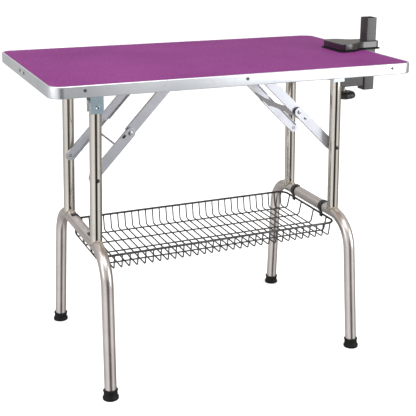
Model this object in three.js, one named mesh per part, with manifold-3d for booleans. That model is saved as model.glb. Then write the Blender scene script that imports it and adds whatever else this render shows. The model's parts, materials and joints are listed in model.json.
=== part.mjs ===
// Folding pet grooming table: a padded top on two folding leg frames, each held by a pair of
// folding braces, with a wire basket hung under the crossbars and a clamp with a post socket
// on the right end. Millimetres, +Z up, +X along the top, the front is -Y.
// The origin is on the floor, under the middle of the outline.

import * as THREE from 'three';
import { mergeVertices } from 'three/addons/utils/BufferGeometryUtils.js';
import Module from 'manifold-3d';

const wasm = await Module();
wasm.setup();

// Fits
const gap = 0.3; // between pieces that meet
const past = 1; // how far a cutting solid passes the faces it opens
const pinClearance = 0.3; // on the radius, round every bolt, pin and screw

// Top
const tableLength = 950;
const tableWidth = 550;
const tableHeight = 790; // floor to the mat's top
const cornerRadius = 32;
const matThickness = 3;
const boardThickness = 22.4;
const trimWall = 1.5;
const trimLip = 5; // how far the trim's lips reach in over the board

// Leg frames
const tubeDiameter = 30;
const tubeWall = 1.5;
const hingeInset = 143; // from the top's end to the hinge
const leftPivotDrop = 82; // from the mat's top to the left hinge
const frameStackGap = 3; // between the two folded frames, one above the other
const uprightTrack = 252; // between a frame's two uprights
const crossbarHeight = 357;
const bendRadius = 85;
const footTrack = 484; // between a frame's two feet
const legSplay = 5; // degrees, the lower legs outwards across the table
const legTilt = 1; // degrees, each frame outwards along the table
const uprightTop = 12; // of the upright above the hinge

// Feet
const footDiameter = 40;
const footNeckDiameter = 36;
const footHeight = 24;
const footSole = 6; // under the tube's end
const footShoulder = 4; // height of the slope between the cup's wide and narrow parts
const footTaper = 0.5; // of the neck's radius, up to its rim

// Hinge brackets
const bracketLength = 32;
const bracketWall = 2.5;
const bracketSkirt = 15; // of the cheeks below the hinge
const bracketClearance = 0.7; // between a cheek and the upright
const hingeBoltDiameter = 10;
const boltHeadDiameter = 15;
const boltHeadHeight = 3;

// Braces
const anchorReach = 204; // from the hinge to the brace's anchor, along the table
const anchorDrop = 42; // from the mat's top to the anchor's stud
const legPinDrop = { left: 181, right: 198 }; // from the hinge down the leg to the brace's pin
const foldedKneeRise = { left: 20, right: 4 }; // of the knee above the hinge when folded
const linkWidth = 26;
const linkDepth = 8;
const linkWall = 2;
const linkUprightGap = 2.5; // leaves room for the knee rivet's head
const linkLayerGap = 0.5; // between the lower and the upper link
const bracePinDiameter = 8;
const kneeHeadDiameter = 12;
const kneeHeadHeight = 1.5;
const anchorWall = 2;
const anchorLength = 30;
const anchorSkirt = 12; // of the anchor's plate below the stud
const lockRodDiameter = 5;
const lockRodFromKnee = 45;
const crossPlateFlare = 62; // along the brace, where the plate meets a link
const crossPlateWaist = 34;
const crossPlateFromKnee = 6; // of the plate's middle line up the upper link
const crossPlateBend = [0.7, 0.4]; // pulls of the edge's curve, as shares of the plate's half width
const crossPlateThickness = 1.6;

// Basket
const basketRimWire = 6;
const basketDrop = 0.7; // between the lowest of the frame above the rim and the rim
const basketRimInset = 4; // of the rim from the crossbar's axis
const basketWidth = 304;
const basketDepth = 40; // from the rim's axis down to the floor
const basketWallSlope = 26; // how far the walls lean in
const basketWire = 4;
const basketCrossWires = 16;
const basketLongWires = 4;
const basketEndWires = 4;
const basketCornerRadius = 26;

// Basket clips
const clipWall = 2.5;
const clipWidth = 14;
const clipTrack = 160;
const clipTongue = 2.3; // of the tongue below the rim
const clipTongueWall = 3;
const clipTongueGap = 0.6; // between the tongue and the rim
const clipOverTop = 120; // degrees, where the band ends, from the inner side over the top

// Clamp
const clampOffset = -15; // of the clamp from the top's middle line
const postSize = 34;
const postWall = 2.5;
const postRise = 87; // of the post above the mat
const postFall = 118; // of the post below the mat's top
const postEdgeGap = 8; // between the top's end and the post
const jawHeight = 19;
const jawReach = 92; // of the jaw in from the top's end
const jawInnerWidth = 108;
const jawOuterWidth = 54;
const jawInnerEnd = 26; // straight side at the wide end
const jawNeckGap = 10; // from the end of the narrowing to the post
const jawBeyondPost = 6;
const jawCornerRadius = 12;
const jawPadThickness = 3;
const jawPadFlare = 4;
const armDrop = 78; // from the mat's top to the arm's top
const armHeight = 28;
const armWidth = 26;
const armReach = 71; // of the arm in from the post
const screwInset = 14; // of the screw from the arm's free end
const screwDiameter = 12;
const padDiameter = 36;
const padHeight = 9;
const knobDiameter = 72;
const knobWaist = 5; // depth of the hollows between its lobes
const knobLobes = 6;
const knobHeight = 22;
const knobDrop = 119; // from the mat's top to the knob's top

const roundSides = 20;
const boreSides = 12;
const bendSteps = 6;
const basketCornerSteps = 4;
const lobeSteps = 8;

const radians = THREE.MathUtils.degToRad;
const tubeRadius = tubeDiameter / 2;
const tilt = radians(legTilt);
const splay = radians(legSplay);

// Heights of the top's layers
const matBottom = tableHeight - matThickness;
const boardTop = matBottom - gap;
const boardBottom = boardTop - boardThickness;
const trimBottom = boardBottom - gap - trimWall;

const pivotHeight = {
  left: tableHeight - leftPivotDrop,
  right: tableHeight - leftPivotDrop + tubeDiameter + frameStackGap,
};
const hingeReach = tableLength / 2 - hingeInset;
const crossbarReach = (side) => hingeReach + (pivotHeight[side] - crossbarHeight) * Math.tan(tilt);

// A lower leg leans out by legSplay; this is its distance across the table at a height.
const lowerLegY = (height) => footTrack / 2 - height * Math.tan(splay);

// The bow bends down from the crossbar into the lower legs, so over the rim's outer edge its
// underside is lower than the crossbar's by bendSag. A faceted bend is nearest its centre at
// the middle of a step.
const bendTurn = radians(90 - legSplay);
const bendStart = lowerLegY(crossbarHeight) - bendRadius * Math.tan(bendTurn / 2);
const bendInside = (bendRadius - tubeRadius) * Math.cos(bendTurn / bendSteps / 2);
const rimOuterY = basketWidth / 2 + basketRimWire / 2;
const pastBendStart = Math.max(rimOuterY - bendStart, 0);
const bendSag = bendRadius - tubeRadius - Math.sqrt(bendInside ** 2 - pastBendStart ** 2);
const rimTop = crossbarHeight - tubeRadius - bendSag - basketDrop;
const rimReach = crossbarReach('left') - basketRimInset; // to the axis of the basket's end rim

// Distances across the table, from its middle line, of the brace's layers
const uprightInner = uprightTrack / 2 - tubeRadius;
const lowerLinkOuter = uprightInner - linkUprightGap;
const lowerLinkInner = lowerLinkOuter - linkDepth;
const upperLinkOuter = lowerLinkInner - linkLayerGap;
const upperLinkInner = upperLinkOuter - linkDepth;

const finish = (color, roughness, metalness) => ({ color, roughness, metalness });
const finishes = {
  mat: finish(0x8f4a88, 0.85, 0),
  board: finish(0xb79b6e, 0.8, 0),
  trim: finish(0xd8dadd, 0.35, 0.9),
  polished: finish(0xc9c5be, 0.18, 1),
  brushed: finish(0xb9b0ac, 0.35, 1),
  zinc: finish(0xbcc3cc, 0.4, 0.9),
  bolt: finish(0x8d8f92, 0.35, 1),
  rubber: finish(0x151515, 0.75, 0),
  wire: finish(0x48484a, 0.45, 0.6),
  clip: finish(0x1c1c1e, 0.5, 0),
  clamp: finish(0x4a4546, 0.4, 0.3),
  knob: finish(0x101011, 0.45, 0),
};

const table = new THREE.Group();

function addPiece(group, name, geometry, look) {
  const mesh = new THREE.Mesh(geometry, new THREE.MeshStandardMaterial(look));
  mesh.name = name;
  group.add(mesh);
  return mesh;
}

// ---- Solids ----

function toSolid(geometry) {
  const bare = geometry.clone();
  bare.deleteAttribute('normal');
  bare.deleteAttribute('uv');
  const merged = mergeVertices(bare, 1e-4);
  const vertProperties = new Float32Array(merged.attributes.position.array);
  const triVerts = new Uint32Array(merged.index.array);
  return new wasm.Manifold(new wasm.Mesh({ numProp: 3, vertProperties, triVerts }));
}

function toGeometry(solid) {
  const { vertProperties, triVerts } = solid.getMesh();
  const geometry = new THREE.BufferGeometry();
  geometry.setAttribute('position', new THREE.BufferAttribute(vertProperties, 3));
  geometry.setIndex(new THREE.BufferAttribute(triVerts, 1));
  return geometry;
}

const join = (...parts) => toGeometry(parts.map(toSolid).reduce((whole, part) => whole.add(part)));
const cut = (body, ...tools) =>
  toGeometry(tools.map(toSolid).reduce((whole, tool) => whole.subtract(tool), toSolid(body)));

function box(low, high) {
  const size = high.map((value, i) => value - low[i]);
  const middle = high.map((value, i) => (value + low[i]) / 2);
  return new THREE.BoxGeometry(...size).translate(...middle);
}

// A cylinder round a line through (a, b) along one axis, where a and b are the other two
// coordinates in X, Y, Z order.
function cylinder(axis, radius, low, high, a = 0, b = 0, sides = roundSides) {
  const geometry = new THREE.CylinderGeometry(radius, radius, high - low, sides);
  const middle = (high + low) / 2;
  if (axis === 'x') return geometry.rotateZ(-Math.PI / 2).translate(middle, a, b);
  if (axis === 'y') return geometry.translate(a, middle, b);
  return geometry.rotateX(Math.PI / 2).translate(a, b, middle);
}

// Outlines are drawn in X and Y and extruded up Z; the next two turn the outline's Y up.
const extrude = (shape, low, high, curveSegments = 6) =>
  new THREE.ExtrudeGeometry(shape, { depth: high - low, bevelEnabled: false, curveSegments })
    .translate(0, 0, low);

const extrudeAcross = (shape, low, high, curveSegments = 6) =>
  new THREE.ExtrudeGeometry(shape, { depth: high - low, bevelEnabled: false, curveSegments })
    .rotateX(Math.PI / 2).translate(0, high, 0);

function roundedRectangle(width, depth, radius) {
  const x = width / 2;
  const y = depth / 2;
  const shape = new THREE.Shape();
  shape.moveTo(x, -y + radius);
  shape.absarc(x - radius, y - radius, radius, 0, Math.PI / 2);
  shape.absarc(-x + radius, y - radius, radius, Math.PI / 2, Math.PI);
  shape.absarc(-x + radius, -y + radius, radius, Math.PI, 1.5 * Math.PI);
  shape.absarc(x - radius, -y + radius, radius, 1.5 * Math.PI, 2 * Math.PI);
  return shape;
}

function polygon(points) {
  return new THREE.Shape(points.map(([x, y]) => new THREE.Vector2(x, y)));
}

// ---- Tubes ----

// A path through given points, whose steps are those points.
class PointPath extends THREE.Curve {
  constructor(points) {
    super();
    this.points = points;
  }

  getPoint(t, target = new THREE.Vector3()) {
    const place = t * (this.points.length - 1);
    const index = Math.min(Math.floor(place + 1e-6), this.points.length - 2);
    return target.lerpVectors(this.points[index], this.points[index + 1], place - index);
  }

  getPointAt(t, target) {
    return this.getPoint(t, target);
  }

  getTangentAt(t, target = new THREE.Vector3()) {
    const index = Math.round(t * (this.points.length - 1));
    const here = this.points[index];
    const before = this.points[index - 1] ?? here;
    const after = this.points[index + 1] ?? here;
    const arriving = here.clone().sub(before).normalize();
    const leaving = after.clone().sub(here).normalize();
    return target.copy(arriving).add(leaving).normalize();
  }
}

// The points of a polyline with each inner corner rounded by an arc.
function roundCorners(corners, radius, steps) {
  const points = [corners[0]];
  for (let i = 1; i < corners.length - 1; i += 1) {
    const toBefore = corners[i - 1].clone().sub(corners[i]).normalize();
    const toAfter = corners[i + 1].clone().sub(corners[i]).normalize();
    const halfAngle = toBefore.angleTo(toAfter) / 2;
    const bisector = toBefore.clone().add(toAfter).normalize();
    const centre = corners[i].clone().addScaledVector(bisector, radius / Math.sin(halfAngle));
    const back = radius / Math.tan(halfAngle);
    const start = corners[i].clone().addScaledVector(toBefore, back).sub(centre);
    const end = corners[i].clone().addScaledVector(toAfter, back).sub(centre);
    const turn = start.angleTo(end);
    const normal = start.clone().cross(end).normalize();
    for (let k = 0; k <= steps; k += 1) {
      points.push(start.clone().applyAxisAngle(normal, (turn * k) / steps).add(centre));
    }
  }
  points.push(corners[corners.length - 1]);
  return points;
}

function ring(outerRadius, innerRadius) {
  const shape = new THREE.Shape().absarc(0, 0, outerRadius, 0, 2 * Math.PI);
  shape.holes.push(new THREE.Path().absarc(0, 0, innerRadius, 0, 2 * Math.PI, true));
  return shape;
}

function tubeAlong(points, radius, wall) {
  return new THREE.ExtrudeGeometry(ring(radius, radius - wall), {
    steps: points.length - 1,
    curveSegments: roundSides / 2,
    bevelEnabled: false,
    extrudePath: new PointPath(points),
  });
}

// ---- Top ----

function outlineInset(inset) {
  return roundedRectangle(tableLength - 2 * inset, tableWidth - 2 * inset, cornerRadius - inset);
}

function buildTop() {
  const body = extrude(outlineInset(trimWall + gap), boardBottom, boardTop);
  addPiece(table, 'table_board', body, finishes.board);
  const mat = extrude(outlineInset(trimLip + gap), matBottom, tableHeight);
  addPiece(table, 'table_mat', mat, finishes.mat);
  const trim = cut(
    extrude(outlineInset(0), trimBottom, tableHeight),
    extrude(outlineInset(trimWall), trimBottom + trimWall, tableHeight - trimWall),
    extrude(outlineInset(trimLip), trimBottom - past, tableHeight + past),
  );
  addPiece(table, 'edge_trim', trim, finishes.trim);
}

// ---- Leg frames ----

// A side group has its origin at the hinge's middle, with +X towards the table's middle.
function sideGroup(side) {
  const group = new THREE.Group();
  const outward = side === 'left' ? -1 : 1;
  group.position.set(outward * hingeReach, 0, pivotHeight[side]);
  group.rotation.z = side === 'left' ? 0 : Math.PI;
  table.add(group);
  return group;
}

// The low and high Y of a row's piece, from its distances to the table's middle line.
const acrossRow = (row, near, far) => [Math.min(row * near, row * far), Math.max(row * near, row * far)];

// The right side group is turned half round, so its own -Y lies at the table's back.
function rowName(side, ownY) {
  const isFront = (ownY < 0) === (side === 'left');
  return isFront ? 'front' : 'back';
}

function buildHinge(group, side) {
  const inner = tubeRadius + bracketClearance;
  const outer = inner + bracketWall;
  const top = boardBottom - gap - pivotHeight[side];
  const boltRadius = hingeBoltDiameter / 2;
  for (const row of [-1, 1]) {
    const name = `${side}_${rowName(side, row)}`;
    const y = (row * uprightTrack) / 2;
    const half = bracketLength / 2;
    const block = box([-half, y - outer, -bracketSkirt], [half, y + outer, top]);
    const slot = box(
      [-half - past, y - inner, -bracketSkirt - past],
      [half + past, y + inner, top - bracketWall],
    );
    const boreRadius = boltRadius + pinClearance;
    const bore = cylinder('y', boreRadius, y - outer - past, y + outer + past, 0, 0, boreSides);
    addPiece(group, `hinge_bracket_${name}`, cut(block, slot, bore), finishes.zinc);
    const headStart = outer + gap;
    const headEnd = headStart + boltHeadHeight;
    const headRadius = boltHeadDiameter / 2;
    const bolt = join(
      cylinder('y', boltRadius, y - headStart, y + headStart, 0, 0, boreSides),
      cylinder('y', headRadius, y - headEnd, y - headStart, 0, 0, boreSides),
      cylinder('y', headRadius, y + headStart, y + headEnd, 0, 0, boreSides),
    );
    addPiece(group, `hinge_bolt_${name}`, bolt, finishes.bolt);
  }
}

// Distances down the tilted leg from the hinge
const alongLeg = (height) => height / Math.cos(tilt);

function buildLegFrame(group, side) {
  const leg = new THREE.Group();
  leg.rotation.y = tilt;
  group.add(leg);

  const pivot = pivotHeight[side];
  const crossbarDrop = alongLeg(pivot - crossbarHeight);
  const corner = (sign) => new THREE.Vector3(0, sign * lowerLegY(crossbarHeight), -crossbarDrop);
  const foot = (sign) => new THREE.Vector3(0, sign * lowerLegY(footSole), -alongLeg(pivot - footSole));
  const bowPoints = roundCorners([foot(-1), corner(-1), corner(1), foot(1)], bendRadius, bendSteps);
  addPiece(leg, `${side}_bow`, tubeAlong(bowPoints, tubeRadius, tubeWall), finishes.brushed);

  const pinDrop = legPinDrop[side];
  const pinRadius = bracePinDiameter / 2;
  const hingeBore = hingeBoltDiameter / 2 + pinClearance;
  for (const row of [-1, 1]) {
    const name = `${side}_${rowName(side, row)}`;
    const y = (row * uprightTrack) / 2;
    const low = y - tubeDiameter;
    const high = y + tubeDiameter;
    const upright = cut(
      extrude(ring(tubeRadius, tubeRadius - tubeWall), -crossbarDrop, uprightTop, roundSides / 2)
        .translate(0, y, 0),
      cylinder('y', tubeRadius + gap, low, high, 0, -crossbarDrop),
      cylinder('y', hingeBore, low, high, 0, 0, boreSides),
      cylinder('y', pinRadius + pinClearance, low, high, 0, -pinDrop, boreSides),
    );
    addPiece(leg, `${side}_upright_${rowName(side, row)}`, upright, finishes.polished);

    const head = uprightTrack / 2 + tubeRadius + gap;
    const headEnd = head + kneeHeadHeight;
    const shank = acrossRow(row, lowerLinkOuter - linkWall, headEnd);
    const pin = join(
      cylinder('y', pinRadius, ...shank, 0, -pinDrop, boreSides),
      cylinder('y', kneeHeadDiameter / 2, ...acrossRow(row, head, headEnd), 0, -pinDrop, boreSides),
    );
    addPiece(leg, `brace_pin_${name}`, pin, finishes.bolt);
  }
  buildClips(leg, side, crossbarDrop);
  buildFeet(group, side);
}

// Rubber cups: turned about the lower leg's own line, then cut level with the floor.
function buildFeet(group, side) {
  const bore = tubeRadius + gap;
  const rim = footHeight - footSole;
  const profile = [
    [0, -2 * footSole],
    [footDiameter / 2, -2 * footSole],
    [footDiameter / 2, 0],
    [footNeckDiameter / 2, footShoulder],
    [footNeckDiameter / 2 - footTaper, rim],
    [bore, rim],
    [bore, -gap],
    [0, -gap],
  ].map(([radius, height]) => new THREE.Vector2(radius, height));
  for (const row of [-1, 1]) {
    const turned = new THREE.LatheGeometry(profile, roundSides)
      .rotateX(Math.PI / 2)
      .rotateX(row * splay)
      .rotateY(tilt)
      .translate(0, 0, footSole);
    const reach = footDiameter;
    const cup = cut(turned, box([-reach, -reach, -reach], [reach, reach, 0]));
    const foot = addPiece(group, `foot_${side}_${rowName(side, row)}`, cup, finishes.rubber);
    const drop = pivotHeight[side] - footSole;
    foot.position.set(-drop * Math.tan(tilt), row * lowerLegY(footSole), -pivotHeight[side]);
  }
}

// Snap clips: a band over the crossbar with a tongue down the inner side of the basket's rim.
function buildClips(leg, side, crossbarDrop) {
  const inner = tubeRadius + gap;
  const outer = inner + clipWall;
  const tongueNear = crossbarReach(side) - rimReach + basketRimWire / 2 + clipTongueGap;
  const tongueFar = tongueNear + clipTongueWall;
  const tongueEnd = rimTop - basketRimWire - clipTongue - crossbarHeight;
  const overTop = radians(clipOverTop);
  const shape = new THREE.Shape();
  shape.moveTo(tongueNear, tongueEnd);
  shape.lineTo(tongueFar, tongueEnd);
  shape.absarc(0, 0, outer, -Math.acos(tongueFar / outer), overTop, false);
  shape.absarc(0, 0, inner, overTop, -Math.acos(tongueNear / inner), true);
  for (const row of [-1, 1]) {
    const y = (row * clipTrack) / 2;
    const clip = extrudeAcross(shape, y - clipWidth / 2, y + clipWidth / 2, 8)
      .translate(0, 0, -crossbarDrop);
    addPiece(leg, `basket_clip_${side}_${rowName(side, row)}`, clip, finishes.clip);
  }
}

// ---- Braces ----

// The brace seen from the front, from the hinge, with x towards the table's middle. The knee is
// on the straight line from the anchor to the leg's pin, where both links also meet when the
// leg is folded level: at foldedKneeRise above the hinge.
function solveBrace(side) {
  const pinDrop = legPinDrop[side];
  const anchor = { x: anchorReach, z: tableHeight - anchorDrop - pivotHeight[side] };
  const pin = { x: -pinDrop * Math.sin(tilt), z: -pinDrop * Math.cos(tilt) };
  const span = Math.hypot(anchor.x - pin.x, anchor.z - pin.z);
  const rise = foldedKneeRise[side];
  // upper^2 - lower^2 = constant + slope * x at the folded knee, and upper + lower = span
  const constant = anchor.x ** 2 - pinDrop ** 2 + (anchor.z - rise) ** 2 - rise ** 2;
  const slope = -2 * (anchor.x - pinDrop);
  const p = (span - constant / span) / 2;
  const q = slope / (2 * span);
  const a = 1 - q * q;
  const b = p * q - pinDrop;
  const kneeX = (-b - Math.sqrt(b * b - a * (pinDrop ** 2 + rise ** 2 - p * p))) / a;
  const lower = p - q * kneeX;
  const upper = span - lower;
  const angle = Math.atan2(anchor.z - pin.z, anchor.x - pin.x);
  return { anchor, pin, upper, lower, angle };
}

// A pressed channel with round ends, its pivots at x = 0 and x = length. The web is on the
// outer side across the table and the flanges reach inwards.
function channelLink(length, row, outer, holes) {
  const radius = linkWidth / 2;
  const outline = new THREE.Shape();
  outline.absarc(0, 0, radius, Math.PI / 2, 1.5 * Math.PI);
  outline.absarc(length, 0, radius, -Math.PI / 2, Math.PI / 2);
  const [webLow, webHigh] = acrossRow(row, outer - linkWall, outer);
  const [low, high] = acrossRow(row, outer - linkDepth, outer);
  const upperFlange = box([0, low, radius - linkWall], [length, high, radius]);
  const lowerFlange = box([0, low, -radius], [length, high, linkWall - radius]);
  const body = join(extrudeAcross(outline, webLow, webHigh), upperFlange, lowerFlange);
  const boreRadius = bracePinDiameter / 2 + pinClearance;
  const bores = holes.map((x) =>
    cylinder('y', boreRadius, webLow - past, webHigh + past, x, 0, boreSides));
  return cut(body, ...bores);
}

function buildBraces(group, side) {
  const { anchor, pin, upper, lower, angle } = solveBrace(side);
  const pinRadius = bracePinDiameter / 2;
  const upperGroup = new THREE.Group();
  upperGroup.position.set(anchor.x, 0, anchor.z);
  upperGroup.rotation.y = Math.PI - angle;
  const lowerGroup = new THREE.Group();
  lowerGroup.position.set(pin.x, 0, pin.z);
  lowerGroup.rotation.y = -angle;
  group.add(upperGroup, lowerGroup);

  for (const row of [-1, 1]) {
    const name = `${side}_${rowName(side, row)}`;
    const upperLink = channelLink(upper, row, upperLinkOuter, [0]);
    addPiece(upperGroup, `upper_link_${name}`, upperLink, finishes.zinc);
    const lowerLink = channelLink(lower, row, lowerLinkOuter, [0, lower]);
    addPiece(lowerGroup, `lower_link_${name}`, lowerLink, finishes.zinc);

    const headEnd = lowerLinkOuter + gap + kneeHeadHeight;
    const shank = acrossRow(row, upperLinkOuter + gap, headEnd);
    const head = acrossRow(row, lowerLinkOuter + gap, headEnd);
    const rivet = join(
      cylinder('y', pinRadius, ...shank, lower, 0, boreSides),
      cylinder('y', kneeHeadDiameter / 2, ...head, lower, 0, boreSides),
    );
    addPiece(lowerGroup, `knee_rivet_${name}`, rivet, finishes.bolt);

    // The anchor hangs inside the upper link, under the board, with its stud through the link.
    const plateOuter = upperLinkInner - gap;
    const plateInner = plateOuter - anchorWall;
    const top = boardBottom - gap - pivotHeight[side];
    const half = anchorLength / 2;
    const [plateLow, plateHigh] = acrossRow(row, plateInner, plateOuter);
    const [flangeLow, flangeHigh] = acrossRow(row, plateInner - half, plateOuter);
    const stud = acrossRow(row, plateInner, upperLinkOuter);
    const anchorPiece = join(
      box([anchor.x - half, plateLow, anchor.z - anchorSkirt], [anchor.x + half, plateHigh, top]),
      box([anchor.x - half, flangeLow, top - anchorWall], [anchor.x + half, flangeHigh, top]),
      cylinder('y', pinRadius, ...stud, anchor.x, anchor.z, boreSides),
    );
    addPiece(group, `brace_anchor_${name}`, anchorPiece, finishes.zinc);
  }
  if (side === 'left') buildLockRod(lowerGroup, lower);
  else buildCrossPlate(upperGroup, upper);
}

// The rod that ties the left pair of lower links, lying inside their upper flanges.
function buildLockRod(lowerGroup, lower) {
  const radius = lockRodDiameter / 2;
  const reach = lowerLinkOuter - linkWall - gap;
  const height = linkWidth / 2 - linkWall - gap - radius;
  const rod = cylinder('y', radius, -reach, reach, lower - lockRodFromKnee, height, boreSides);
  addPiece(lowerGroup, 'lock_rod', rod, finishes.bolt);
}

// The plate that ties the right pair of upper links: wide at both links, narrow between them,
// lying along their lower edges.
function buildCrossPlate(upperGroup, upper) {
  const reach = upperLinkInner - gap;
  const flare = crossPlateFlare / 2;
  const waist = crossPlateWaist / 2;
  const [far, near] = crossPlateBend.map((share) => reach * share);
  const outline = new THREE.Shape();
  outline.moveTo(-flare, -reach);
  outline.bezierCurveTo(-waist, -far, -waist, -near, -waist, 0);
  outline.bezierCurveTo(-waist, near, -waist, far, -flare, reach);
  outline.lineTo(flare, reach);
  outline.bezierCurveTo(waist, far, waist, near, waist, 0);
  outline.bezierCurveTo(waist, -near, waist, -far, flare, -reach);
  const high = linkWidth / 2 - linkWall;
  const plate = extrude(outline, high - crossPlateThickness, high)
    .translate(upper - crossPlateFromKnee, 0, 0);
  addPiece(upperGroup, 'brace_cross_plate', plate, finishes.zinc);
}

// ---- Basket ----

// A grid of square bars whose long wires lie half sunk into the undersides of the cross wires.
function wireGrid(halfX, halfY, wiresAcross, wiresAlong, bar, top) {
  const bars = [];
  const middle = top - bar;
  for (let i = 0; i < wiresAcross; i += 1) {
    const x = -halfX + (i * (2 * halfX - bar)) / (wiresAcross - 1);
    bars.push(box([x, -halfY, middle], [x + bar, halfY, top]));
  }
  for (let j = 0; j < wiresAlong; j += 1) {
    const y = -halfY + bar + (j * (2 * halfY - 3 * bar)) / (wiresAlong - 1);
    bars.push(box([-halfX + bar / 2, y, middle - bar / 2], [halfX - bar / 2, y + bar, top - bar / 2]));
  }
  return join(...bars);
}

// A comb: a long bar with short wires standing on it, for a wall that leans out to the rim.
function combShape(halfLength, height, wires, bar, firstWire) {
  const points = [[-halfLength, 0], [halfLength, 0], [halfLength, bar]];
  const pitch = (2 * firstWire) / (wires - 1);
  for (let i = wires - 1; i >= 0; i -= 1) {
    const x = -firstWire + i * pitch;
    points.push([x + bar / 2, bar], [x + bar / 2, height], [x - bar / 2, height], [x - bar / 2, bar]);
  }
  points.push([-halfLength, bar]);
  return polygon(points);
}

function buildBasket() {
  const rimHalf = basketRimWire / 2;
  const rimY = basketWidth / 2;
  const floorTop = rimTop - rimHalf - basketDepth + basketWire / 2;
  const floorX = rimReach - basketWallSlope;
  const floorY = rimY - basketWallSlope;

  const rimOutline = (grow) =>
    roundedRectangle(2 * (rimReach + grow), 2 * (rimY + grow), basketCornerRadius + grow);
  const rim = rimOutline(rimHalf);
  rim.holes.push(new THREE.Path(rimOutline(-rimHalf).getPoints(basketCornerSteps)));
  const rimBar = extrude(rim, rimTop - basketRimWire, rimTop, basketCornerSteps);
  addPiece(table, 'basket_rim', rimBar, finishes.wire);

  const floor = wireGrid(floorX, floorY, basketCrossWires, basketLongWires, basketWire, floorTop);
  addPiece(table, 'basket_floor', floor, finishes.wire);

  // Each wall stands on the floor's edge and leans out to the rim's underside.
  const rise = rimTop - basketRimWire - gap - (floorTop + gap);
  const lean = Math.atan2(basketWallSlope - basketWire, rise);
  const slant = (rise - basketWire * Math.sin(lean)) / Math.cos(lean);
  const wall = (name, halfLength, wires, firstWire, turn, distance) => {
    const comb = extrudeAcross(combShape(halfLength, slant, wires, basketWire, firstWire), 0, basketWire)
      .rotateX(-lean)
      .translate(0, distance, 0)
      .rotateZ(turn);
    const mesh = addPiece(table, name, comb, finishes.wire);
    mesh.position.z = floorTop + gap + basketWire * Math.sin(lean);
  };
  const sideLength = floorX - basketWire - gap;
  const endLength = floorY - basketWire - gap;
  const lastCrossWire = floorX - basketWire / 2;
  const sideWire = lastCrossWire * (1 - 2 / (basketCrossWires - 1)); // the last wire but one
  const endWire = floorY - 2.5 * basketWire;
  wall('basket_back_wall', sideLength, basketCrossWires - 2, sideWire, 0, endLength);
  wall('basket_front_wall', sideLength, basketCrossWires - 2, sideWire, Math.PI, endLength);
  wall('basket_right_wall', endLength, basketEndWires, endWire, -Math.PI / 2, sideLength);
  wall('basket_left_wall', endLength, basketEndWires, endWire, Math.PI / 2, sideLength);
}

// ---- Clamp ----

const postX = tableLength / 2 + postEdgeGap + postSize / 2;

// The jaw's outline: wide where it bears on the mat, then narrowing in an S to a collar round
// the post.
function jawOutline(grow) {
  const innerX = tableLength / 2 - jawReach - grow;
  const outerX = postX + postSize / 2 + jawBeyondPost + grow;
  const innerY = jawInnerWidth / 2 + grow;
  const outerY = jawOuterWidth / 2 + grow;
  const wideEnd = innerX + jawInnerEnd;
  const neckEnd = postX - postSize / 2 - jawNeckGap;
  const middle = (wideEnd + neckEnd) / 2;
  const radius = jawCornerRadius;
  const shape = new THREE.Shape();
  shape.moveTo(outerX, -outerY + radius);
  shape.absarc(outerX - radius, outerY - radius, radius, 0, Math.PI / 2);
  shape.lineTo(neckEnd, outerY);
  shape.bezierCurveTo(middle, outerY, middle, innerY, wideEnd, innerY);
  shape.absarc(innerX + radius, innerY - radius, radius, Math.PI / 2, Math.PI);
  shape.absarc(innerX + radius, -innerY + radius, radius, Math.PI, 1.5 * Math.PI);
  shape.lineTo(wideEnd, -innerY);
  shape.bezierCurveTo(middle, -innerY, middle, -outerY, neckEnd, -outerY);
  shape.absarc(outerX - radius, -outerY + radius, radius, 1.5 * Math.PI, 2 * Math.PI);
  return shape;
}

function lobedOutline() {
  const points = [];
  const steps = knobLobes * lobeSteps;
  for (let i = 0; i < steps; i += 1) {
    const angle = (2 * Math.PI * i) / steps;
    const radius = knobDiameter / 2 - (knobWaist * (1 - Math.cos(knobLobes * angle))) / 2;
    points.push(new THREE.Vector2(radius * Math.cos(angle), radius * Math.sin(angle)));
  }
  return new THREE.Shape(points);
}

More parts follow.
